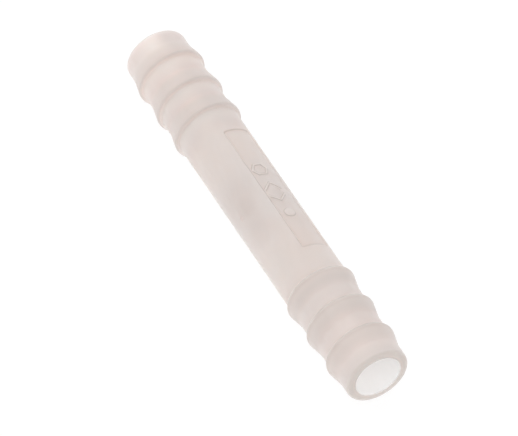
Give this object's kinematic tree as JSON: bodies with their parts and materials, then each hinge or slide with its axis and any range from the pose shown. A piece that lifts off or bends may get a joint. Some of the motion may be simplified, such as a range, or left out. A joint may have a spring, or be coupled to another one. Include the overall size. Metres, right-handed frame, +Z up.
{
  "type": "straight barbed hose joiner",
  "caption": "Straight one-piece plastic hose joiner: a plain tube with rounded barbs on both ends, a straight bore and a sunken label panel with plain marks.",
  "frame": {"origin": "centre of the tube, halfway between the two tip faces, on the bore's axis", "axes": "+X along the bore towards one tip, +Z up; the label panel's middle is 26.5 degrees from +Z towards +Y and the moulding gate is 63.5 degrees from +Z towards -Y"},
  "size_m": [0.0572, 0.0088, 0.0088],
  "materials": {
    "natural_polypropylene": "milky translucent natural polypropylene with a satin moulded surface"
  },
  "bodies": {
    "root": {"connector_body": "natural_polypropylene"}
  },
  "joints": []
}
